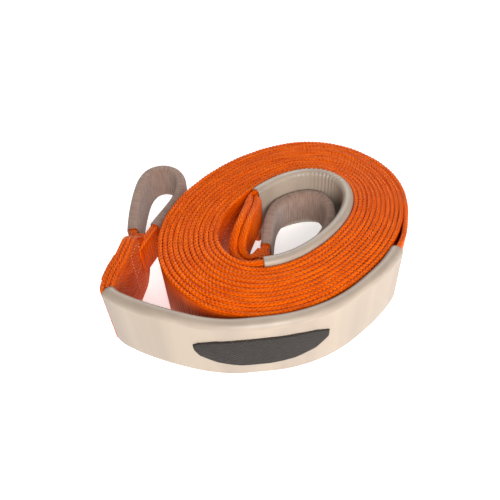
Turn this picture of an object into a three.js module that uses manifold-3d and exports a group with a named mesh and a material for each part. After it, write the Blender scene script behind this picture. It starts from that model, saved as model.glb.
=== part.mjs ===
// Tow strap coiled on its edge: one long webbing with a sewn eye at each end, a woven wear
// sleeve round each eye and two slide-on protector sleeves. Millimetres, +Z up, floor at 0.
import * as THREE from "three";
import { mergeVertices } from "three/addons/utils/BufferGeometryUtils.js";
import Module from "manifold-3d";

const wasm = await Module();
wasm.setup();

// The strap and how it is wound
const STRAP_W = 80; // webbing width, which stands upright
const STRAP_T = 4.8; // webbing thickness
const WIND_GAP = 0.36; // air between two turns
const PITCH = STRAP_T + WIND_GAP;
const TURNS = 11.634;
const START_DEG = 185; // where the first turn starts, in the oval's own frame
const OVAL_DEG = 46.5; // long axis of the oval, from +X
const BORE_LONG = 87.8; // half axes of the first turn's inner face
const BORE_SHORT = 56.5;
const OVAL_POWER = 2.12; // 2 is an ellipse, more is squarer
const BORE_CENTRE = [2.5, 6.5];
const OUTER_CENTRE = [0.7, 0.6];
const TURN_PARTS = 32; // straight parts in one turn

// The groove that shows the turns on both end faces
const GROOVE_HALF = 0.9;
const GROOVE_DEEP = 2;

// Folded eyes and their woven wear sleeves
const EYE_T = 2 * STRAP_T; // webbing folded in half
const EYE_H = STRAP_W / 2;
const EYE_Z = (STRAP_W - EYE_H) / 2;
const FIT = 0.3; // air between two pieces that touch
const WEAR_WALL = 1.2;
const WEAR_CHAMFER = 2.6;
const EYE_CHAMFER = 1.4;

// Slide-on protector sleeves
const SLEEVE_WALL = 1.6;
const SLEEVE_T = 14; // bulged thickness round the tail
const INNER_SLEEVE_T = 12.5; // pressed against the bore
const SLEEVE_CHAMFER = 4.2;
const LIFT = SLEEVE_WALL + FIT; // the webbing stands this high inside a sleeve
const SLEEVE_H = STRAP_W + 2 * LIFT;

// Sewn end sections
const SEWN_T = 3 * STRAP_T; // three layers
const FREE_END_T = 17; // with the free end of the outer layer lying over it

// Badge patch on the outer sleeve
const PATCH_T = 1.1;

const ORANGE = 0xef6e13; // nylon webbing
const PALE_GREY = 0xded2c4; // coated cloth of the protector sleeves
const TAUPE = 0x957a6b; // woven wear sleeves
const DARK_GREY = 0x574d42; // badge patch

const STEP = 9; // longest straight part along a path

// Tail in plan: leaves the coil, crosses in front of it and turns back at the left
// Each station is x, y, bottom, height, thickness.
const TAIL = [
  [134.6, 0, 0, STRAP_W, STRAP_T],
  [128, -28.3, LIFT, STRAP_W, STRAP_T],
  [116.8, -51.8, LIFT, STRAP_W, STRAP_T],
  [101.8, -73.9, LIFT, STRAP_W, STRAP_T],
  [81.4, -95.4, LIFT, STRAP_W, STRAP_T],
  [60.1, -113.8, LIFT, STRAP_W, STRAP_T],
  [36, -128.4, LIFT, STRAP_W, STRAP_T],
  [5.7, -139.9, LIFT, STRAP_W, STRAP_T],
  [-25, -145, LIFT, STRAP_W, STRAP_T],
  [-52, -147, LIFT, STRAP_W, STRAP_T],
  [-79, -144, LIFT, STRAP_W, STRAP_T],
  [-106, -137, LIFT, STRAP_W, STRAP_T],
  [-135, -127.5, LIFT, STRAP_W, STRAP_T],
  [-155, -119, LIFT, STRAP_W, STRAP_T],
  [-169, -111, LIFT, STRAP_W, STRAP_T],
  [-175.5, -103, 0, STRAP_W, 2 * STRAP_T],
  [-176, -91, 0, STRAP_W, SEWN_T],
  [-174, -74, 0, STRAP_W, FREE_END_T],
  [-171.5, -64, 0, STRAP_W, SEWN_T],
  [-168.5, -45, 0, STRAP_W, SEWN_T],
  [-166.5, -30, 2, 76, SEWN_T],
  [-164.5, -16, 11, 56, SEWN_T],
  [-163.5, -6, EYE_Z, EYE_H, EYE_T],
];

// Loop of the outer eye from its V and back, in plan
const OUTER_EYE = [
  [-165, -32],
  [-170.5, -15],
  [-174.5, 6],
  [-177.8, 36],
  [-178.7, 68],
  [-177, 89],
  [-171, 104],
  [-161, 110.7],
  [-150, 110.7],
  [-139, 104],
  [-131, 90],
  [-128.8, 72],
  [-132, 52],
  [-139, 33],
  [-147.5, 12],
  [-155.5, -10],
  [-163.5, -32],
];

// Sewn end of the inner eye: folded in half and high in the bore, then down to the V
const FOLD_T = 19; // two folded bands side by side
const INNER_END = [
  [-36.5, 27, 22, 58, 10],
  [-39, 16, STRAP_W - EYE_H, EYE_H, 16],
  [-43, 2, STRAP_W - EYE_H, EYE_H, FOLD_T],
  [-48.5, -14, 38, EYE_H, FOLD_T],
  [-51.5, -28, 33, EYE_H, 18],
  [-49.5, -40, 28, EYE_H, 16],
  [-40.5, -47, 24, EYE_H, SEWN_T],
  [-30, -43, 21, EYE_H, SEWN_T],
  [-23, -33, EYE_Z, EYE_H, EYE_T],
];
const INNER_EYE = [
  [-30, -45],
  [-22.5, -28],
  [-19.7, -8],
  [-18.5, 12],
  [-15.5, 30],
  [-8.6, 45.6],
  [4.1, 55.9],
  [17.6, 62],
  [32, 63.5],
  [45, 57],
  [52, 44],
  [53.5, 28],
  [49.5, 6],
  [37, -16],
  [17.5, -34],
  [-7, -47],
  [-30, -45],
];

function closedSolid(positions, triangles) {
  let volume = 0;
  const at = (i) => new THREE.Vector3().fromArray(positions, 3 * i);
  for (const [a, b, c] of triangles) volume += at(a).cross(at(b)).dot(at(c));
  const faces = volume < 0 ? triangles.map(([a, b, c]) => [a, c, b]) : triangles;
  const mesh = new wasm.Mesh({
    numProp: 3,
    vertProperties: new Float32Array(positions),
    triVerts: new Uint32Array(faces.flat()),
  });
  return new wasm.Manifold(mesh);
}

function solidOf(geometry) {
  geometry.deleteAttribute("normal");
  geometry.deleteAttribute("uv");
  const merged = mergeVertices(geometry, 1e-3);
  const { array } = merged.attributes.position;
  const mesh = new wasm.Mesh({
    numProp: 3,
    vertProperties: array,
    triVerts: new Uint32Array(merged.index.array),
  });
  return new wasm.Manifold(mesh);
}

// A section of [across, z] points carried along the stations of a path
function sweep(path, sectionAt) {
  const positions = [];
  const triangles = [];
  const count = sectionAt(path[0]).length;
  path.forEach((station, i) => {
    const before = path[Math.max(i - 1, 0)];
    const after = path[Math.min(i + 1, path.length - 1)];
    const along = new THREE.Vector2(after[0] - before[0], after[1] - before[1]).normalize();
    for (const [across, z] of sectionAt(station)) {
      positions.push(station[0] - along.y * across, station[1] + along.x * across, z);
    }
    if (i === 0) return;
    const near = (i - 1) * count;
    const far = i * count;
    for (let k = 0; k < count; k++) {
      const next = (k + 1) % count;
      triangles.push([near + k, near + next, far + next], [near + k, far + next, far + k]);
    }
  });
  const last = (path.length - 1) * count;
  for (let k = 1; k < count - 1; k++) {
    triangles.push([0, k + 1, k], [last, last + k, last + k + 1]);
  }
  return closedSolid(positions, triangles);
}

// Upright band section with its four corners cut at 45 degrees
function bandSection(bottom, height, thickness, chamfer) {
  const half = thickness / 2;
  const cut = Math.min(chamfer, half - 0.4);
  const top = bottom + height;
  return [
    [-half + cut, bottom],
    [half - cut, bottom],
    [half, bottom + cut],
    [half, top - cut],
    [half - cut, top],
    [-half + cut, top],
    [-half, top - cut],
    [-half, bottom + cut],
  ];
}

// Smooth path through stations: plan points on a spline, the other values in straight steps
function smooth(stations) {
  const points = stations.map(([x, y]) => new THREE.Vector3(x, y, 0));
  const curve = new THREE.CatmullRomCurve3(points, false, "centripetal");
  const spans = stations.length - 1;
  const path = [];
  for (let span = 0; span < spans; span++) {
    const parts = Math.max(1, Math.round(points[span].distanceTo(points[span + 1]) / STEP));
    for (let j = 0; j < parts; j++) {
      const share = j / parts;
      const p = curve.getPoint((span + share) / spans);
      const rest = stations[span]
        .slice(2)
        .map((value, k) => THREE.MathUtils.lerp(value, stations[span + 1][k + 2], share));
      path.push([p.x, p.y, ...rest]);
    }
  }
  path.push(stations[spans]);
  return path;
}

function lengthOf(path) {
  let total = 0;
  for (let i = 1; i < path.length; i++) {
    total += Math.hypot(path[i][0] - path[i - 1][0], path[i][1] - path[i - 1][1]);
  }
  return total;
}

// The piece of a path between two lengths along it
function pieceOf(path, from, to) {
  const piece = [];
  let run = 0;
  for (let i = 1; i < path.length; i++) {
    const span = lengthOf([path[i - 1], path[i]]);
    const at = (length) =>
      path[i].map((value, k) => THREE.MathUtils.lerp(path[i - 1][k], value, (length - run) / span));
    if (from >= run && from < run + span) piece.push(at(from));
    if (run + span > from + 0.5 && run + span < to - 0.5) piece.push(path[i]);
    if (to > run && to <= run + span) piece.push(at(to));
    run += span;
  }
  return piece;
}

// Point of the winding: turns from the start, and how far outside the first inner face
function woundPoint(turns, extra) {
  const angle = THREE.MathUtils.degToRad(START_DEG) - turns * 2 * Math.PI;
  const grow = PITCH * turns + extra;
  const share = THREE.MathUtils.clamp(turns / TURNS, 0, 1);
  const across = Math.abs(Math.cos(angle)) / (BORE_LONG + grow);
  const up = Math.abs(Math.sin(angle)) / (BORE_SHORT + grow);
  const radius = (across ** OVAL_POWER + up ** OVAL_POWER) ** (-1 / OVAL_POWER);
  const turned = angle + THREE.MathUtils.degToRad(OVAL_DEG);
  return [
    THREE.MathUtils.lerp(BORE_CENTRE[0], OUTER_CENTRE[0], share) + radius * Math.cos(turned),
    THREE.MathUtils.lerp(BORE_CENTRE[1], OUTER_CENTRE[1], share) + radius * Math.sin(turned),
  ];
}

function woundPath(from, to, extraAt) {
  const parts = Math.max(2, Math.round(Math.abs(to - from) * TURN_PARTS));
  const path = [];
  for (let i = 0; i <= parts; i++) {
    const turns = from + ((to - from) * i) / parts;
    path.push(woundPoint(turns, extraAt(turns)));
  }
  return path;
}

// The coil: outline of its last turn, bore of its first, and the turns as a spiral groove
function coil() {
  const plan = (path) => path.map(([x, y]) => new THREE.Vector2(x, y));
  const outline = new THREE.Shape(plan(woundPath(TURNS, TURNS - 1, () => STRAP_T)));
  outline.holes.push(new THREE.Path(plan(woundPath(0, 1, () => 0))));
  const ring = new THREE.ExtrudeGeometry(outline, { depth: STRAP_W, bevelEnabled: false });
  let body = solidOf(ring);
  const between = woundPath(1 - 0.01, TURNS, () => -WIND_GAP / 2);
  for (const [face, into] of [[0, 1], [STRAP_W, -1]]) {
    const mouth = face - into * 0.2;
    body = body.subtract(
      sweep(between, () => [
        [0, face + into * GROOVE_DEEP],
        [-GROOVE_HALF, mouth],
        [GROOVE_HALF, mouth],
      ]),
    );
  }
  return body;
}

// Upright strap of the stations' own heights and thicknesses
const strapBand = (path, chamfer = 0.9) =>
  sweep(path, ([, , bottom, height, thickness]) =>
    bandSection(bottom, height, thickness, chamfer),
  );

// Tube over a path: its outside less its inside, which runs out at both ends
function tube(path, from, to, outside, inside) {
  const cavity = pieceOf(path, from - 1, to + 1);
  return sweep(pieceOf(path, from, to), outside).subtract(sweep(cavity, inside));
}

const protector = (path, from, to, thick) =>
  tube(
    path,
    from,
    to,
    () => bandSection(0, SLEEVE_H, thick, SLEEVE_CHAMFER),
    () =>
      bandSection(
        SLEEVE_WALL,
        SLEEVE_H - 2 * SLEEVE_WALL,
        thick - 2 * SLEEVE_WALL,
        thick / 2 - SLEEVE_WALL - STRAP_T / 2 - FIT,
      ),
  );

const wearSleeve = (path, from, to) =>
  tube(
    path,
    from,
    to,
    () => {
      const grow = FIT + WEAR_WALL;
      return bandSection(EYE_Z - grow, EYE_H + 2 * grow, EYE_T + 2 * grow, WEAR_CHAMFER);
    },
    () => bandSection(EYE_Z - FIT, EYE_H + 2 * FIT, EYE_T + 2 * FIT, EYE_CHAMFER),
  );

const eyePath = (points) => smooth(points.map(([x, y]) => [x, y, EYE_Z, EYE_H, EYE_T]));

// Inner run: from the first turn inwards round the bore, inside the inner sleeve
const RUN_SLEEVE_GAP = 0.7; // air between the coil and the inner sleeve
const RUN_TURNS = 0.746;
const RUN_EASE = 0.07; // share of a turn in which the webbing leaves the coil
function innerRun() {
  const inset = PITCH - RUN_SLEEVE_GAP - INNER_SLEEVE_T / 2;
  const path = woundPath(0.03, -RUN_TURNS, (turns) =>
    THREE.MathUtils.lerp(STRAP_T / 2, inset, THREE.MathUtils.smoothstep(-turns, 0, RUN_EASE)),
  );
  return path.map(([x, y], i) => {
    const lift = LIFT * THREE.MathUtils.smoothstep(i, 0, 3);
    return [x, y, lift, STRAP_W, STRAP_T];
  });
}

const outerEye = eyePath(OUTER_EYE);
const inner = innerRun();
const innerEnd = smooth([inner[inner.length - 1], ...INNER_END]);
const innerEye = eyePath(INNER_EYE);

const leaving = woundPath(TURNS - 0.04, TURNS - 0.01, () => STRAP_T / 2);
const tail = smooth([...leaving.map(([x, y]) => [x, y, 0, STRAP_W, STRAP_T]), ...TAIL]);

const webbing = [
  strapBand(tail),
  strapBand(outerEye, EYE_CHAMFER),
  strapBand(inner),
  strapBand(innerEnd),
  strapBand(innerEye, EYE_CHAMFER),
].reduce((all, piece) => all.add(piece), coil());

const TAIL_TO_SLEEVE = 97;
const OUTER_SLEEVE_LONG = 331;
const outerSleeve = protector(tail, TAIL_TO_SLEEVE, TAIL_TO_SLEEVE + OUTER_SLEEVE_LONG, SLEEVE_T);
const INNER_TO_SLEEVE = 50;
const innerSleeve = protector(inner, INNER_TO_SLEEVE, lengthOf(inner) - 4, INNER_SLEEVE_T);

const OUTER_BARE = [34, 42]; // webbing bare at the start and end of an eye's loop
const INNER_BARE = [24, 24];
const outerEyeSleeve = wearSleeve(outerEye, OUTER_BARE[0], lengthOf(outerEye) - OUTER_BARE[1]);
const innerEyeSleeve = wearSleeve(innerEye, INNER_BARE[0], lengthOf(innerEye) - INNER_BARE[1]);

// Lens outline of the patch: length along the sleeve path, bottom and top
const PATCH = [
  [0, 44, 50],
  [6, 34, 55],
  [22, 26, 61],
  [44, 21, 64.5],
  [72, 20.5, 65],
  [98, 24, 64],
  [118, 31, 60],
  [132, 44, 53],
];
const PATCH_FROM = 207; // along the tail, from its own start
function patch() {
  const first = SLEEVE_T / 2 + FIT;
  const length = PATCH[PATCH.length - 1][0];
  const path = pieceOf(tail, PATCH_FROM, PATCH_FROM + length);
  let run = 0;
  const stations = path.map(([x, y], i) => {
    if (i) run += lengthOf([path[i - 1], path[i]]);
    const from = length - run;
    const k = Math.max(1, PATCH.findIndex(([at]) => at >= from - 1e-6));
    const share = (from - PATCH[k - 1][0]) / (PATCH[k][0] - PATCH[k - 1][0]);
    const value = (j) => THREE.MathUtils.lerp(PATCH[k - 1][j], PATCH[k][j], share);
    return [x, y, value(1), value(2)];
  });
  return sweep(stations, ([, , bottom, top]) => [
    [first, bottom],
    [first + PATCH_T, bottom],
    [first + PATCH_T, top],
    [first, top],
  ]);
}

function meshOf(name, solid, colour, roughness) {
  const mesh = solid.getMesh();
  const geometry = new THREE.BufferGeometry();
  geometry.setAttribute("position", new THREE.BufferAttribute(mesh.vertProperties, 3));
  geometry.setIndex(new THREE.BufferAttribute(mesh.triVerts, 1));
  const material = new THREE.MeshStandardMaterial({ color: colour, roughness, metalness: 0 });
  const node = new THREE.Mesh(geometry, material);
  node.name = name;
  return node;
}

const strap = new THREE.Group();
strap.name = "tow_strap";
strap.add(
  meshOf("webbing", webbing, ORANGE, 0.75),
  meshOf("protector_sleeve_outer", outerSleeve, PALE_GREY, 0.5),
  meshOf("protector_sleeve_inner", innerSleeve, PALE_GREY, 0.5),
  meshOf("eye_sleeve_outer", outerEyeSleeve, TAUPE, 0.85),
  meshOf("eye_sleeve_inner", innerEyeSleeve, TAUPE, 0.85),
  meshOf("badge_patch", patch(), DARK_GREY, 0.6),
);

// The origin is the middle of the box that holds it, on the floor
const box = new THREE.Box3().setFromObject(strap);
const middle = box.getCenter(new THREE.Vector3());
strap.position.set(-middle.x, -middle.y, -box.min.z);
strap.updateMatrixWorld(true);

export default strap;
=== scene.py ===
"""Tow strap, coiled on its edge: the looks of its webbing, sleeves and patch.

Lengths are millimetres in the coil's own plan, with its middle at 0, 0 and the floor at height 0.
"""
import math

import bpy
import numpy as np
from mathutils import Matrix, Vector


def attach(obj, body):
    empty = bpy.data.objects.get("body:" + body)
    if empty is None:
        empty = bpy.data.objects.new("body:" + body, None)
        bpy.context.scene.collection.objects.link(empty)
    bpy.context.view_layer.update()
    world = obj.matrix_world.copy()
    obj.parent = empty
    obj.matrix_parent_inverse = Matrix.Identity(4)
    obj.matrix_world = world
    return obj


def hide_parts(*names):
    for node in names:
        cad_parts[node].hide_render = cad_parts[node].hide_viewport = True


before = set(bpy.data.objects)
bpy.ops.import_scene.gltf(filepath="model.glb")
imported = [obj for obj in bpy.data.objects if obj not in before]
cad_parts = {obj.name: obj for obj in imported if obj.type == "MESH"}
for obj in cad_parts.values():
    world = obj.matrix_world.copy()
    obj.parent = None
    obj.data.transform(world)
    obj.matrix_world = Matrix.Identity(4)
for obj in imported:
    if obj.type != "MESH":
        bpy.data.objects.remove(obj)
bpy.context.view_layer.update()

MM = 0.001
COIL_MIDDLE = (22.41, 7.48)  # where the coil's own 0, 0 lies in the part's frame
chance = np.random.default_rng(7)

# Camera

IMAGE = 500  # pixels, both ways
LENS_PIXELS = 558
SENSOR = 36
AXIS_PIXEL = 285  # the lens looks at this column of the photograph
CAMERA_BACK, CAMERA_UP, CAMERA_TILT = 454, 504, 46.5


def place_camera():
    """Camera above the front of the coil, with its middle line off to one side as in the photo"""
    data = bpy.data.cameras.new("camera")
    data.sensor_width = SENSOR
    data.lens = SENSOR * LENS_PIXELS / IMAGE
    data.shift_x = (IMAGE / 2 - AXIS_PIXEL) / IMAGE
    camera = bpy.data.objects.new("camera", data)
    camera.location = (
        COIL_MIDDLE[0] * MM,
        (COIL_MIDDLE[1] - CAMERA_BACK) * MM,
        CAMERA_UP * MM,
    )
    camera.rotation_euler = (math.radians(90 - CAMERA_TILT), 0, 0)
    bpy.context.scene.collection.objects.link(camera)
    bpy.context.scene.camera = camera


# Sizes, as in the solids

STRAP_W = 80  # webbing width, which stands upright
STRAP_T = 4.8  # webbing thickness
WIND_GAP = 0.36  # air between two turns
PITCH = STRAP_T + WIND_GAP
TURNS = 11.634
START_DEG = 185  # where the first turn starts, in the oval's own frame
OVAL_DEG = 46.5  # long axis of the oval, from +X
BORE_LONG, BORE_SHORT = 87.8, 56.5  # half axes of the first turn's inner face
OVAL_POWER = 2.12  # 2 is an ellipse, more is squarer
BORE_CENTRE, OUTER_CENTRE = np.array([2.5, 6.5]), np.array([0.7, 0.6])
FIT = 0.3  # air between two pieces that touch
EYE_T, EYE_H = 2 * STRAP_T, STRAP_W / 2  # webbing folded in half
EYE_Z = (STRAP_W - EYE_H) / 2
WEAR_WALL = 1.2  # woven sleeve round an eye
WEAR_GROW = FIT + WEAR_WALL
SLEEVE_WALL = 1.6  # slide-on protector sleeves
SLEEVE_T, INNER_SLEEVE_T = 14, 12.5  # round the tail, and pressed against the bore
LIFT = SLEEVE_WALL + FIT  # the webbing stands this high inside a sleeve
SLEEVE_H = STRAP_W + 2 * LIFT
SLEEVE_GAP = 0.7  # air between the inner sleeve and the first turn
RUN_TURNS = 0.746  # the run that lines the bore, before the first turn
RUN_EASE = 0.07  # turns in which the run comes away from the first turn
RUN_INSET = PITCH - SLEEVE_GAP - INNER_SLEEVE_T / 2

# Sizes that only show

SPLINE_PARTS = 24  # points from one plan point to the next
RUN_STEP = 0.002  # turns between two points of the winding
WINDING_STEP = 1.25
JOIN = 12  # last points of the winding, where the tail's curve takes over
EDGE_SOFT = 1.6  # rounding of the webbing's edges
EDGE_WANDER = [(55, 0.4), (14, 0.15)]  # spacing and size of the upper edge's waves
THICK_WANDER = (40, 0.04)  # the same for its thickness
SUPPORT = 5  # a row of points this far below the edge keeps the faces flat
BEAD, BEAD_DEEP = 4.6, 0.55  # one bead of the woven edge along the strap, and its depth
BEAD_LEAN = 0.45  # how far a bead slants across the edge
TURN_AIR = 0.12  # drawn between two turns
TAIL_LONG = 410  # from the coil to the sewn end
CLIMB = 50  # length in which the webbing climbs into a sleeve
CLIMB_DOWN, CLIMB_UP = 60, 20  # ahead of the run's end, and past the end of the coil
TAIL_WOUND = 16  # points of the tail that are one run with the coil
OUTER_SLEEVE_SPAN = (97, 433)  # the part of the tail that the sleeve covers
INNER_SLEEVE_BARE = (50, 4)  # left bare at the two ends of the run
OUTER_SLEEVE_SOFT, INNER_SLEEVE_SOFT = 6.5, 5.6
DENT = 0.45  # depth of the outer sleeve's soft dents
GATHER_AT, GATHER_WIDE = 205, 26  # where the inner sleeve is pushed together
GATHER_DEEP, GATHER_LONG = 0.6, 0.85  # depth of its folds, and their length over two pi
EYE_SOFT, WEAR_SOFT = 3.2, 4.6
PUCKER_BEND = 45  # half length of the bend where a wear sleeve puckers most
PUCKER_DEEP, PUCKER_MORE, PUCKER_LONG = 0.08, 0.22, 0.55
OUTER_EYE_BARE, INNER_EYE_BARE = (34, 42), (24, 24)  # webbing left bare at the eye's foot
SEWN_END_FROM = 14  # the tail's point where the sewn end starts
SEWN_END_TUCK = 9  # past that point, so that the sleeve hides the start
SEWN_STEP = 1.5
FOLD_FROM, FOLD_LONG = -36, 30  # plan Y where the webbing folds down to the eye's height
THIN_FROM, THIN_LONG = -22, 16  # plan Y where its layers thin down to the eye's
LAYER_AIR, LAYER_SHORT, LAYER_SOFT = 0.25, 0.35, 1.5  # each layer: gap, narrower, rounding
SEAM_ROWS = (52, 74)  # the stitched box, along the sewn end
SEAM_HEIGHTS = (8, 40, 72)
SEAM_PITCH, STITCH = 5, 3
FLAP_SPAN = (14, 46)  # the free end, along the sewn end
FLAP_T, FLAP_SHORT, FLAP_SOFT = 3.2, 0.8, 1.4
FLAP_SINK = 0.4  # into the layer below it
BANDS_T, BANDS_MORE = 4.6, 4.9  # the inner sewn end's two bands, and what opening adds
BANDS_SOFT, BANDS_APART = 4, 1.02
BANDS_DROP_FROM, BANDS_DROP = 0.3, 0.6  # share of their length where they sink to the eye
BANDS_OPEN = 0.12  # share in which they part
PATCH_SPAN = (110, 242)  # along the outer sleeve
PATCH_LONG = PATCH_SPAN[1] - PATCH_SPAN[0]
PATCH_STAND, PATCH_THICK, PATCH_SOFT = 0.35, 1.4, 1.2  # off the sleeve, thickness, rim
PATCH_HIGH = 44  # for the pattern on it
PATCH = [  # length from the left end, lower edge, upper edge
    (0, 44, 50), (6, 34, 55), (22, 26, 61), (44, 21, 64.5),
    (72, 20.5, 65), (98, 24, 64), (118, 31, 60), (132, 44, 53),
]
FLOOR_WIDE = 40  # metres
FLOOR_DROP = 0.0006  # metres that the floor lies below the part
LIGHTS = [  # name, place in metres, width in metres, watts
    ("softbox_back", (0.0, 1.25, 0.8), 0.9, 14),
    ("softbox_right", (1.2, -0.15, 0.3), 0.6, 4),
    ("softbox_front", (0.25, -1.15, 0.8), 0.7, 25),
]
LIGHT_AIM = Vector((0, 0, 0.05))
WORLD_LIGHT = 0.14

# Plan points, laid as in the photo

TAIL = [
    (134.6, 0), (128, -28.3), (116.8, -51.8), (101.8, -73.9), (81.4, -95.4),
    (60.1, -113.8), (36, -128.4), (5.7, -139.9), (-25, -145), (-52, -147),
    (-79, -144), (-106, -137), (-135, -127.5), (-155, -119), (-169, -111),
    (-175.5, -103), (-176, -91), (-174, -74), (-171.5, -64), (-168.5, -45),
    (-166.5, -30), (-164.5, -16), (-163.5, -6),
]
OUTER_EYE = [
    (-165, -32), (-170.5, -15), (-174.5, 6), (-177.8, 36), (-178.7, 68),
    (-177, 89), (-171, 104), (-161, 110.7), (-150, 110.7), (-139, 104),
    (-131, 90), (-128.8, 72), (-132, 52), (-139, 33), (-147.5, 12),
    (-155.5, -10), (-163.5, -32),
]
INNER_END = [
    (-36.5, 27), (-39, 16), (-43, 2), (-48.5, -14), (-51.5, -28),
    (-49.5, -40), (-40.5, -47), (-30, -43), (-23, -33),
]
INNER_EYE = [
    (-30, -45), (-22.5, -28), (-19.7, -8), (-18.5, 12), (-15.5, 30),
    (-8.6, 45.6), (4.1, 55.9), (17.6, 62), (32, 63.5), (45, 57),
    (52, 44), (53.5, 28), (49.5, 6), (37, -16), (17.5, -34),
    (-7, -47), (-30, -45),
]


# Paths


def wound_points(turns, extra):
    """Plan points of the winding at so many turns, extra outside the first inner face"""
    turns = np.asarray(turns, float)
    angle = np.radians(START_DEG) - turns * 2 * np.pi
    grow = PITCH * turns + extra
    across = np.abs(np.cos(angle)) / (BORE_LONG + grow)
    up = np.abs(np.sin(angle)) / (BORE_SHORT + grow)
    radius = (across**OVAL_POWER + up**OVAL_POWER) ** (-1 / OVAL_POWER)
    turned = angle + np.radians(OVAL_DEG)
    share = np.clip(turns / TURNS, 0, 1)[:, None]
    centre = BORE_CENTRE * (1 - share) + OUTER_CENTRE * share
    return centre + radius[:, None] * np.stack([np.cos(turned), np.sin(turned)], 1)


def ease(x):
    """Soft step from 0 to 1"""
    x = np.clip(x, 0, 1)
    return x * x * (3 - 2 * x)


def lengths(path):
    """Length along a path at each of its points"""
    steps = np.hypot(*np.diff(path, axis=0).T)
    return np.concatenate([[0], np.cumsum(steps)])


def spline(points):
    """Centripetal spline through plan points"""
    p = np.asarray(points, float)
    p = np.vstack([2 * p[0] - p[1], p, 2 * p[-1] - p[-2]])
    out = []
    for a, b, c, d in zip(p, p[1:], p[2:], p[3:]):
        spans = np.hypot(*np.diff([a, b, c, d], axis=0).T) ** 0.5
        knots = np.concatenate([[0], np.cumsum(spans)])
        t = np.linspace(knots[1], knots[2], SPLINE_PARTS, endpoint=False)[:, None]

        def between(u, v, low, high):
            return ((high - t) * u + (t - low) * v) / (high - low)

        ab = between(a, b, knots[0], knots[1])
        bc = between(b, c, knots[1], knots[2])
        cd = between(c, d, knots[2], knots[3])
        abc = between(ab, bc, knots[0], knots[2])
        bcd = between(bc, cd, knots[1], knots[3])
        out.append(between(abc, bcd, knots[1], knots[2]))
    return np.vstack(out + [p[-2:-1]])


def part_of(path, low, high, step):
    """The piece of a path between two lengths along it, with points every step"""
    path = np.asarray(path, float)
    run = lengths(path)
    high = min(high, run[-1])
    at = np.linspace(low, high, max(2, int(round((high - low) / step)) + 1))
    return np.stack([np.interp(at, run, path[:, k]) for k in range(2)], 1)


def spaced(path, step):
    """The same path with points every step along it"""
    return part_of(path, 0, math.inf, step)


def drift(at, spacing, size):
    """Smooth random values along a length"""
    knots = np.arange(at.min() - 2 * spacing, at.max() + 3 * spacing, spacing)
    values = chance.normal(0, size, len(knots))
    place = (at - knots[0]) / spacing
    i = np.clip(place.astype(int), 1, len(knots) - 3)
    f = place - i
    a, b, c, d = (values[i + k] for k in (-1, 0, 1, 2))
    return b + 0.5 * f * (c - a + f * (2 * a - 5 * b + 4 * c - d + f * (3 * (b - c) + d - a)))


# Meshes


def rounded_section(count, thick, height, bottom, edge, corner):
    """Upright section with rounded edges at each of so many stations, listed once round"""
    sizes = (thick, height, bottom, edge)
    thick, height, bottom, edge = (np.broadcast_to(np.asarray(v, float), count) for v in sizes)
    turn = np.linspace(0, np.pi / 2, corner + 1)
    half = thick / 2
    wide = np.minimum(half, edge)
    points = []
    for quarter in range(4):
        sign_x = 1 if quarter in (0, 3) else -1
        sign_z = 1 if quarter in (0, 1) else -1
        swing = turn if quarter in (0, 2) else turn[::-1]
        for a in swing:
            x = sign_x * (half - wide + wide * math.cos(a))
            z = np.where(sign_z > 0, bottom + height - edge, bottom + edge)
            points.append(np.stack([x, z + sign_z * edge * math.sin(a)], -1))
    return np.stack(points, -2)


def new_piece(name, verts, faces, uvs, material):
    """A mesh object in the part's frame, with its length and girth in metres as its UV map"""
    mesh = bpy.data.meshes.new(name)
    verts = np.array(verts, float)
    verts[:, 0] += COIL_MIDDLE[0]
    verts[:, 1] += COIL_MIDDLE[1]
    verts *= MM
    mesh.vertices.add(len(verts))
    mesh.vertices.foreach_set("co", verts.ravel())
    faces = np.asarray(faces, int)
    size = faces.shape[1]
    mesh.loops.add(faces.size)
    mesh.loops.foreach_set("vertex_index", faces.ravel())
    mesh.polygons.add(len(faces))
    mesh.polygons.foreach_set("loop_start", np.arange(len(faces)) * size)
    mesh.update(calc_edges=True)
    layer = mesh.uv_layers.new(name="length_and_girth")
    layer.data.foreach_set("uv", (np.asarray(uvs, float) * MM).ravel())
    mesh.validate()
    mesh.shade_smooth()
    mesh.materials.append(material)
    piece = bpy.data.objects.new(name, mesh)
    bpy.context.scene.collection.objects.link(piece)
    return piece


def directions(path):
    """Unit vectors along a path and across it, in plan"""
    along = np.gradient(path, axis=0)
    along /= np.hypot(*along.T)[:, None]
    return along, np.stack([-along[:, 1], along[:, 0]], 1)


def placed(path, sections):
    """Section points, across and up, set out along a path"""
    _, side = directions(path)
    rows = np.zeros(sections.shape[:2] + (3,))
    rows[..., :2] = path[:, None] + side[:, None] * sections[..., :1]
    rows[..., 2] = sections[..., 1]
    return rows


def outward(sections):
    """Unit normals of each section's outline"""
    along = np.roll(sections, -1, 1) - np.roll(sections, 1, 1)
    normal = np.stack([along[..., 1], -along[..., 0]], -1)
    normal /= np.maximum(np.linalg.norm(normal, axis=-1, keepdims=True), 1e-9)
    return normal


def girth_at(sections):
    """Length round a section at each of its points, from the middle one of the path"""
    middle = sections[len(sections) // 2]
    return np.concatenate([[0], np.cumsum(np.linalg.norm(np.diff(middle, axis=0), axis=1))])


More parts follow.
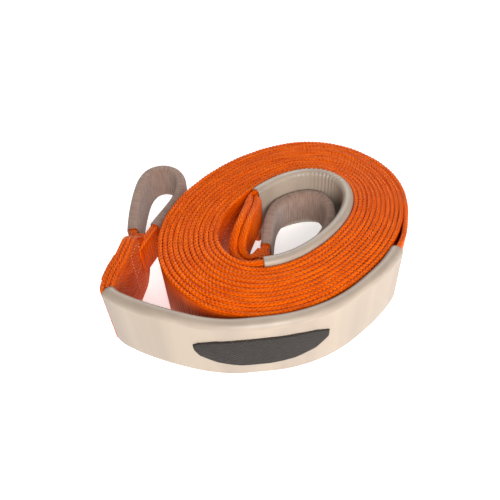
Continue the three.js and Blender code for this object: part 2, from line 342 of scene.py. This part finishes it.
def loft(name, rows, run, girth, material, ring=False):
    """Skin over rows of points: closed round each row, capped at the ends or closed into a ring"""
    count, size = rows.shape[:2]
    i = np.arange(count if ring else count - 1)[:, None]
    k = np.arange(size)[None, :]
    nxt_i, nxt_k = (i + 1) % count, (k + 1) % size
    quads = np.stack([i * size + k, i * size + nxt_k, nxt_i * size + nxt_k, nxt_i * size + k], -1)
    quads = quads.reshape(-1, 4)
    u_here, u_next = run[i % count], run[nxt_i]
    v_all = np.concatenate([girth, [girth[-1] + 1]])
    v_here, v_next = v_all[k], v_all[k + 1]
    uv = np.stack(
        [
            np.stack(np.broadcast_arrays(u, v), -1)
            for u, v in ((u_here, v_here), (u_here, v_next), (u_next, v_next), (u_next, v_here))
        ],
        2,
    ).reshape(-1, 4, 2)
    verts = rows.reshape(-1, 3)
    if not ring:
        half = size // 2
        for row, flip in ((0, False), (count - 1, True)):
            strip = []
            for j in range(half - 1):
                quad = [j, j + 1, size - 2 - j, size - 1 - j]
                strip.append(quad if flip else quad[::-1])
            strip = np.array(strip) + row * size
            quads = np.vstack([quads, strip])
            across = rows[row, :, 2][strip - row * size]
            end_uv = np.stack([np.full(across.shape, run[row]), across], -1)
            uv = np.concatenate([uv, end_uv])
    return new_piece(name, verts, quads, uv, material)


def band(name, path, sections, material, relief=None):
    """A solid strap along a path, with an optional relief on its skin"""
    run, girth = lengths(path), girth_at(sections)
    if relief is not None:
        push = relief(run[:, None], girth[None, :], sections)
        sections = sections + outward(sections) * push[..., None]
    return loft(name, placed(path, sections), run, girth, material)


def tube(name, path, outer, wall, material, relief):
    """A sleeve with a wall and two open mouths, from its outer sections and their relief"""
    run, girth = lengths(path), girth_at(outer)
    normal = outward(outer)
    push = relief(run[:, None], girth[None, :], outer)[..., None]
    skin = outer + normal * push
    lining = outer + normal * (push - wall)
    outside, inside = placed(path, skin), placed(path, lining)
    along, _ = directions(path)
    lips = []
    for end, sign in ((0, -1), (-1, 1)):
        mid = (outside[end] + inside[end]) / 2
        mid[:, :2] += along[end] * sign * wall / 2
        lips.append(mid)
    rows = np.concatenate([lips[:1], outside, lips[1:], inside[::-1]])
    at = np.concatenate([[run[0]], run, [run[-1]], run[::-1]])
    return loft(name, rows, at, girth, material, ring=True)


# Materials


def linear(hex_colour):
    """Linear colour of an sRGB hex value"""
    parts = [int(hex_colour[i : i + 2], 16) / 255 for i in (1, 3, 5)]
    return [*(c / 12.92 if c <= 0.04045 else ((c + 0.055) / 1.055) ** 2.4 for c in parts), 1]


def add_node(tree, kind, inputs=None, **settings):
    """A node with its settings, and its sockets set to values or linked to other nodes' outputs"""
    node = tree.nodes.new(kind)
    for key, value in settings.items():
        setattr(node, key, value)
    for key, value in (inputs or {}).items():
        if isinstance(value, bpy.types.NodeSocket):
            tree.links.new(value, node.inputs[key])
        else:
            node.inputs[key].default_value = value
    return node


def new_material(name, **shader):
    """An empty material with one shader, whose sockets take the named values"""
    material = bpy.data.materials.new(name)
    material.use_nodes = True
    tree = material.node_tree
    tree.nodes.clear()
    skin = add_node(tree, "ShaderNodeBsdfPrincipled", shader)
    add_node(tree, "ShaderNodeOutputMaterial", {"Surface": skin.outputs[0]})
    return material, tree, skin


def lengthwise(tree, along_mm, girth_mm):
    """The strap's own length and girth, in steps of real sizes, as one vector"""
    uv = add_node(tree, "ShaderNodeUVMap", uv_map="length_and_girth")
    steps = (1 / (along_mm * MM), 1 / (girth_mm * MM), 0)
    return add_node(
        tree, "ShaderNodeVectorMath", {0: uv.outputs[0], 1: steps}, operation="MULTIPLY"
    ).outputs[0]


def threads(tree, along_mm, girth_mm):
    """Height of a plain weave: two waves, one along the strap and one round it"""
    angles = {0: lengthwise(tree, along_mm, girth_mm), 1: (2 * math.pi,) * 3}
    turns = add_node(tree, "ShaderNodeVectorMath", angles, operation="MULTIPLY")
    waves = add_node(tree, "ShaderNodeVectorMath", {0: turns.outputs[0]}, operation="SINE")
    split = add_node(tree, "ShaderNodeSeparateXYZ", {0: waves.outputs[0]})
    both = {0: split.outputs[0], 1: split.outputs[1]}
    return add_node(tree, "ShaderNodeMath", both, operation="MULTIPLY").outputs[0]


def streaked(tree, low, high, along_mm, girth_mm):
    """Two colours mixed by soft noise, in streaks of a real length and width"""
    noise = add_node(
        tree,
        "ShaderNodeTexNoise",
        {"Vector": lengthwise(tree, along_mm, girth_mm), "Scale": 1, "Detail": 3},
    )
    spread = add_node(tree, "ShaderNodeMapRange", {0: noise.outputs[0], 1: 0.35, 2: 0.65})
    mix = add_node(
        tree,
        "ShaderNodeMix",
        {"Factor": spread.outputs[0], 6: linear(low), 7: linear(high)},
        data_type="RGBA",
    )
    return mix.outputs[2], noise.outputs[0]


def finish_material(tree, skin, colour, height, depth_mm):
    """Gives a shader its colour, and a relief of a real depth from a height"""
    relief = {"Height": height, "Distance": depth_mm * MM, "Strength": 1}
    bump = add_node(tree, "ShaderNodeBump", relief)
    tree.links.new(colour, skin.inputs["Base Color"])
    tree.links.new(bump.outputs[0], skin.inputs["Normal"])


def nylon_webbing():
    """Dyed nylon webbing, woven: satin cords that catch the light as short yellow beads"""
    material, tree, skin = new_material(
        "nylon_webbing",
        Roughness=0.45,
        IOR=1.53,
        Anisotropic=0.9,
        **{
            "Anisotropic Rotation": 0.25,
            "Specular Tint": linear("#FFA01C"),
            "Specular IOR Level": 1.0,
        },
    )
    yarns = add_node(
        tree, "ShaderNodeTangent", direction_type="UV_MAP", uv_map="length_and_girth"
    )
    tree.links.new(yarns.outputs[0], skin.inputs["Tangent"])
    colour, _ = streaked(tree, "#C83E00", "#EA6002", 30, 2.2)
    finish_material(tree, skin, colour, threads(tree, 4.6, 3.4), 0.5)
    return material


def wear_cloth():
    """Woven nylon wear sleeve: a dull taupe cloth whose ribs run across the strap"""
    material, tree, skin = new_material(
        "woven_wear_sleeve", Roughness=0.8, IOR=1.5, **{"Sheen Weight": 0.3, "Sheen Roughness": 0.5}
    )
    colour, _ = streaked(tree, "#856758", "#A38472", 1.6, 16)
    finish_material(tree, skin, colour, threads(tree, 2.2, 2.2), 0.3)
    return material


def coated_cloth():
    """Vinyl-coated cloth: a smooth warm pale grey skin with a soft shine"""
    material, tree, skin = new_material("vinyl_coated_cloth", Roughness=0.45, IOR=1.52)
    colour, noise = streaked(tree, "#99897B", "#A89887", 45, 22)
    finish_material(tree, skin, colour, noise, 0.5)
    return material


def patch_rubber():
    """Moulded soft PVC patch with a fine twill relief"""
    material, tree, skin = new_material("moulded_soft_pvc", Roughness=0.6, IOR=1.4)
    colour, _ = streaked(tree, "#1B140E", "#292019", 6, 4)
    finish_material(tree, skin, colour, threads(tree, 3.6, 3.6), 0.6)
    return material


def polyester_thread():
    """Pale polyester sewing thread, twisted, with a slight shine"""
    material, tree, skin = new_material("polyester_thread", Roughness=0.55, IOR=1.54)
    colour, noise = streaked(tree, "#D88850", "#EBA878", 1, 1)
    finish_material(tree, skin, colour, noise, 0.1)
    return material


def plain_floor():
    """Pale acrylic sheet, lit from below as in a studio"""
    material, _, _ = new_material(
        "lit_acrylic",
        Roughness=0.9,
        **{
            "Base Color": linear("#F4F4F2"),
            "Emission Color": linear("#FFFFFF"),
            "Emission Strength": 0.62,
        },
    )
    return material


# Pieces


def finished(piece, node):
    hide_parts(node)
    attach(piece, "root")
    return piece


def strap_line(turns):
    """The strap's middle line, which comes away from the first turn on its run along the bore"""
    away = ease(-turns / RUN_EASE)
    return wound_points(turns, STRAP_T / 2 + (RUN_INSET - STRAP_T / 2) * away)


def run_long():
    """Length of the run that lines the bore, on the first turn's inner face"""
    return lengths(wound_points(np.arange(-RUN_TURNS, 0, RUN_STEP), 0))[-1]


def winding_path():
    """The strap's middle line from the inner sleeve's mouth to the outer sewn end"""
    wound = strap_line(np.arange(-RUN_TURNS, TURNS - 0.01, RUN_STEP))
    tail = spline([wound[-JOIN], wound[-1], *TAIL[:TAIL_WOUND]])
    return spaced(np.vstack([wound[:-JOIN], tail]), WINDING_STEP)


def room_between_turns(path):
    """Distance from each point of the winding to the turn outside it"""
    turns = np.arange(0, TURNS - 1, 0.01)
    here = wound_points(turns, STRAP_T / 2)
    off = wound_points(turns + 1, STRAP_T / 2) - here
    _, side = directions(here)
    room = np.abs((off * side).sum(1))
    at = lengths(here)
    return np.interp(lengths(path) - run_long(), at, room)


def make_winding(material):
    """The whole coil as one webbing, higher inside the sleeves, with a beaded woven edge"""
    path = winding_path()
    run = lengths(path)
    out_of_inner = run_long() - CLIMB_DOWN
    into_outer = run[-1] - TAIL_LONG + CLIMB_UP
    in_sleeve = 1 - ease((run - out_of_inner) / CLIMB) + ease((run - into_outer) / CLIMB)
    wander = sum(drift(run, *waves) for waves in EDGE_WANDER)
    bottom = LIFT * np.clip(in_sleeve, 0, 1)
    top = STRAP_W + bottom + wander
    thick = room_between_turns(path) - TURN_AIR + drift(run, *THICK_WANDER)
    sections = rounded_section(len(path), thick, top - bottom, bottom, EDGE_SOFT, corner=2)
    below = sections[:, [2, 3]].copy()
    for k, corner in enumerate((0, 5)):
        below[:, k, 0] = sections[:, corner, 0]
        below[:, k, 1] = sections[:, corner, 1] - SUPPORT
    sections = np.concatenate([below[:, :1], sections[:, :6], below[:, 1:], sections[:, 6:]], 1)

    def beads(at, girth, section):
        edge = np.clip(1 - (top[:, None] - section[..., 1]) / SUPPORT, 0, 1)
        lean = section[..., 0] * BEAD_LEAN
        return edge * BEAD_DEEP * np.sin(2 * np.pi * (at + lean) / BEAD)

    piece = band("webbing_winding", path, sections, material, beads)
    return finished(piece, "webbing")


def make_outer_sleeve(material):
    """Protector sleeve on the tail, softly dented; returns the path that it lies on"""
    tail = spline([*wound_points(np.array([TURNS - 0.04, TURNS - 0.01]), STRAP_T / 2), *TAIL])
    path = part_of(tail, *OUTER_SLEEVE_SPAN, 3)
    sections = rounded_section(len(path), SLEEVE_T, SLEEVE_H, 0, OUTER_SLEEVE_SOFT, corner=7)

    def dents(at, girth, section):
        return DENT * np.sin(at / 23 + girth / 19) * np.sin(girth / 31 + 0.4)

    piece = tube("protector_sleeve_outer_cloth", path, sections, SLEEVE_WALL, material, dents)
    finished(piece, "protector_sleeve_outer")
    return path


def make_inner_sleeve(material):
    """Protector sleeve on the run along the bore, gathered at its tightest bend"""
    run_line = strap_line(np.arange(0.03, -RUN_TURNS, -RUN_STEP))
    first, last = INNER_SLEEVE_BARE
    path = part_of(run_line, first, lengths(run_line)[-1] - last, 1)
    sections = rounded_section(len(path), INNER_SLEEVE_T, SLEEVE_H, 0, INNER_SLEEVE_SOFT, corner=6)

    def gathers(at, girth, section):
        near = np.exp(-(((at - GATHER_AT) / GATHER_WIDE) ** 2))
        higher = np.clip(section[..., 1] / (STRAP_W / 2), 0, 1)
        return GATHER_DEEP * near * np.sin(at / GATHER_LONG) * higher

    piece = tube("protector_sleeve_inner_cloth", path, sections, SLEEVE_WALL, material, gathers)
    return finished(piece, "protector_sleeve_inner")


def make_eye(name, points, bare, material, cloth):
    """A folded webbing eye and its wear sleeve; returns the webbing"""
    path = spline(points)
    core = spaced(path, 2)
    sections = rounded_section(len(core), EYE_T, EYE_H, EYE_Z, EYE_SOFT, corner=5)
    folded = finished(band(f"{name}_webbing", core, sections, material), "webbing")
    total = lengths(path)[-1]
    sleeve = part_of(path, bare[0], total - bare[1], 0.8)
    thick, height = EYE_T + 2 * WEAR_GROW, EYE_H + 2 * WEAR_GROW
    bottom = EYE_Z - WEAR_GROW
    outer = rounded_section(len(sleeve), thick, height, bottom, WEAR_SOFT, corner=6)

    def puckers(at, girth, section):
        middle = (total - sum(bare)) / 2
        bend = np.exp(-(((at - middle) / PUCKER_BEND) ** 2))
        wave = np.sin(at / PUCKER_LONG + 1.5 * np.sin(at / 9))
        return (PUCKER_DEEP + PUCKER_MORE * bend) * wave

    piece = tube(f"{name}_sleeve_cloth", sleeve, outer, WEAR_WALL, cloth, puckers)
    finished(piece, f"eye_sleeve_{name.split('_')[0]}")
    return folded


def make_outer_sewn_end(material, thread):
    """Three layers sewn together, the free end's flap over them, and the rows of stitches"""
    path = part_of(spline(TAIL[SEWN_END_FROM:]), SEWN_END_TUCK, math.inf, SEWN_STEP)
    fold = ease((path[:, 1] - FOLD_FROM) / FOLD_LONG)
    bottom = EYE_Z * fold
    height = STRAP_W - (STRAP_W - EYE_H) * fold
    layer = STRAP_T - (STRAP_T - EYE_T / 3) * ease((path[:, 1] - THIN_FROM) / THIN_LONG)
    pieces = []
    for place, tag in ((-1, "inner"), (0, "middle"), (1, "outer")):
        short = LAYER_SHORT * abs(place)
        size = (layer - LAYER_AIR, height - 2 * short, bottom + short)
        sections = rounded_section(len(path), *size, LAYER_SOFT, corner=3)
        sections[..., 0] += (place * layer)[:, None]
        piece = band(f"sewn_end_outer_{tag}_layer", path, sections, material)
        pieces.append(finished(piece, "webbing"))
    flap = part_of(path, *FLAP_SPAN, SEWN_STEP)
    size = (FLAP_T, STRAP_W - 2 * FLAP_SHORT, FLAP_SHORT)
    sections = rounded_section(len(flap), *size, FLAP_SOFT, corner=3)
    sections[..., 0] += 1.5 * STRAP_T - FLAP_SINK
    piece = band("sewn_end_outer_flap", flap, sections, material)
    pieces.append(finished(piece, "webbing"))
    low, high = SEAM_HEIGHTS[0], SEAM_HEIGHTS[-1]
    spots = [(at, z, 0, STITCH) for at in SEAM_ROWS for z in np.arange(low, high, SEAM_PITCH)]
    along = np.arange(SEAM_ROWS[0], SEAM_ROWS[1] - 2, SEAM_PITCH)
    spots += [(at, z, STITCH, 0) for z in SEAM_HEIGHTS for at in along]
    sewn = stitches("sewn_end_outer_stitches", path, -1.5 * STRAP_T, spots, thread)
    pieces.append(finished(sewn, "webbing"))
    return pieces


def stitches(name, path, offset, spots, material):
    """Short raised threads on one face of a path, each from its length, height and reach"""
    run = lengths(path)
    _, side = directions(path)
    ring = np.linspace(0, 2 * np.pi, 6, endpoint=False)
    rings = ((0, 0.1), (0.2, 0.4), (0.8, 0.4), (1, 0.1))  # share of a stitch's length, radius
    verts, faces, uvs = [], [], []
    for at, z, reach, rise in spots:
        first_face, base = len(faces), len(verts)
        for share, radius in rings:
            here = at + share * reach
            middle = np.array([np.interp(here, run, path[:, k]) for k in range(2)])
            across = np.array([np.interp(here, run, side[:, k]) for k in range(2)])
            along = np.array([across[1], -across[0]])
            for a in ring:
                plan = middle + across * (offset + radius * math.cos(a))
                swing = radius * math.sin(a)
                if reach:
                    verts.append([*plan, z + share * rise + swing])
                else:
                    verts.append([*(plan + along * swing), z + share * rise])
        for low in range(base, base + 18, 6):
            for k in range(6):
                n = (k + 1) % 6
                faces.append([low + k, low + n, low + 6 + n, low + 6 + k])
        for low in (base, base + 18):
            faces.append([low, low + 1, low + 2, low + 3])
            faces.append([low, low + 3, low + 4, low + 5])
        uvs.append(np.tile([at, z], (4 * (len(faces) - first_face), 1)))
    return new_piece(name, verts, faces, np.vstack(uvs), material)


def make_inner_sewn_end(material):
    """The two bands into which the webbing parts between the inner sleeve and its eye"""
    start = wound_points(np.array([-RUN_TURNS + 0.01, -RUN_TURNS]), RUN_INSET)
    path = spaced(spline([*start, *INNER_END]), SEWN_STEP)
    share = lengths(path) / lengths(path)[-1]
    sunk = ease((share - BANDS_DROP_FROM) / BANDS_DROP)
    top = STRAP_W - (STRAP_W - EYE_Z - EYE_H) * sunk
    open_out = ease(share / BANDS_OPEN)
    height = STRAP_W - (STRAP_W - EYE_H) * open_out
    thick = BANDS_T + BANDS_MORE * open_out
    pieces = []
    for side, tag in ((1, "far"), (-1, "near")):
        sections = rounded_section(len(path), thick, height, top - height, BANDS_SOFT, corner=5)
        sections[..., 0] += (side * thick / 2 * BANDS_APART)[:, None]
        piece = band(f"sewn_end_inner_{tag}", path, sections, material)
        pieces.append(finished(piece, "webbing"))
    return pieces


def make_patch(sleeve_path, material):
    """Lens-shaped patch on the outer sleeve, with a rounded rim and a bare face"""
    path = part_of(sleeve_path, *PATCH_SPAN, SEWN_STEP)
    along = np.linspace(0, PATCH_LONG, len(path))
    place, low, high = np.array(PATCH, float).T
    low, high = (np.interp(PATCH_LONG - along, place, edge) for edge in (low, high))
    across = np.linspace(0, 1, 25)
    base = SLEEVE_T / 2 + PATCH_STAND
    edge = np.minimum(across, 1 - across)[None, :] * (high - low)[:, None]
    ends = np.minimum(along, PATCH_LONG - along)[:, None]
    rim = np.clip(np.minimum(edge, ends) / PATCH_SOFT, 0, 1)
    front = base + PATCH_THICK * np.sqrt(1 - (1 - rim) ** 2)
    height = low[:, None] + (high - low)[:, None] * across
    face = np.stack([front, height], -1)
    back = np.stack([np.full_like(front, base), height], -1)
    sections = np.concatenate([face, back[:, ::-1]], 1)
    girth = PATCH_HIGH * np.concatenate([across, 1 + across])
    piece = loft("badge_patch_relief", placed(path, sections), lengths(path), girth, material)
    return finished(piece, "badge_patch")


def make_room():
    """A wide lit floor, an even dim surround and three softboxes"""
    bpy.ops.mesh.primitive_plane_add(size=FLOOR_WIDE, location=(0, 0, -FLOOR_DROP))
    floor = bpy.context.object
    floor.name = "floor"
    floor.data.materials.append(plain_floor())
    world = bpy.data.worlds.new("studio")
    bpy.context.scene.world = world
    world.use_nodes = True
    surround = world.node_tree.nodes["Background"].inputs
    surround["Color"].default_value = (1, 1, 1, 1)
    surround["Strength"].default_value = WORLD_LIGHT
    for name, place, width, power in LIGHTS:
        data = bpy.data.lights.new(name, "AREA")
        data.shape = "SQUARE"
        data.size = width
        data.energy = power
        lamp = bpy.data.objects.new(name, data)
        lamp.location = place
        lamp.rotation_euler = (LIGHT_AIM - Vector(place)).to_track_quat("-Z", "Y").to_euler()
        bpy.context.scene.collection.objects.link(lamp)


place_camera()
make_room()
bpy.context.scene.view_settings.view_transform = "Standard"
webbing_finish, wear_finish, sleeve_finish = nylon_webbing(), wear_cloth(), coated_cloth()
sleeve_line = make_outer_sleeve(sleeve_finish)
make_inner_sleeve(sleeve_finish)
ends = [
    make_eye("outer_eye", OUTER_EYE, OUTER_EYE_BARE, webbing_finish, wear_finish),
    make_eye("inner_eye", INNER_EYE, INNER_EYE_BARE, webbing_finish, wear_finish),
    *make_outer_sewn_end(webbing_finish, polyester_thread()),
    *make_inner_sewn_end(webbing_finish),
]
make_winding(webbing_finish)
make_patch(sleeve_line, patch_rubber())
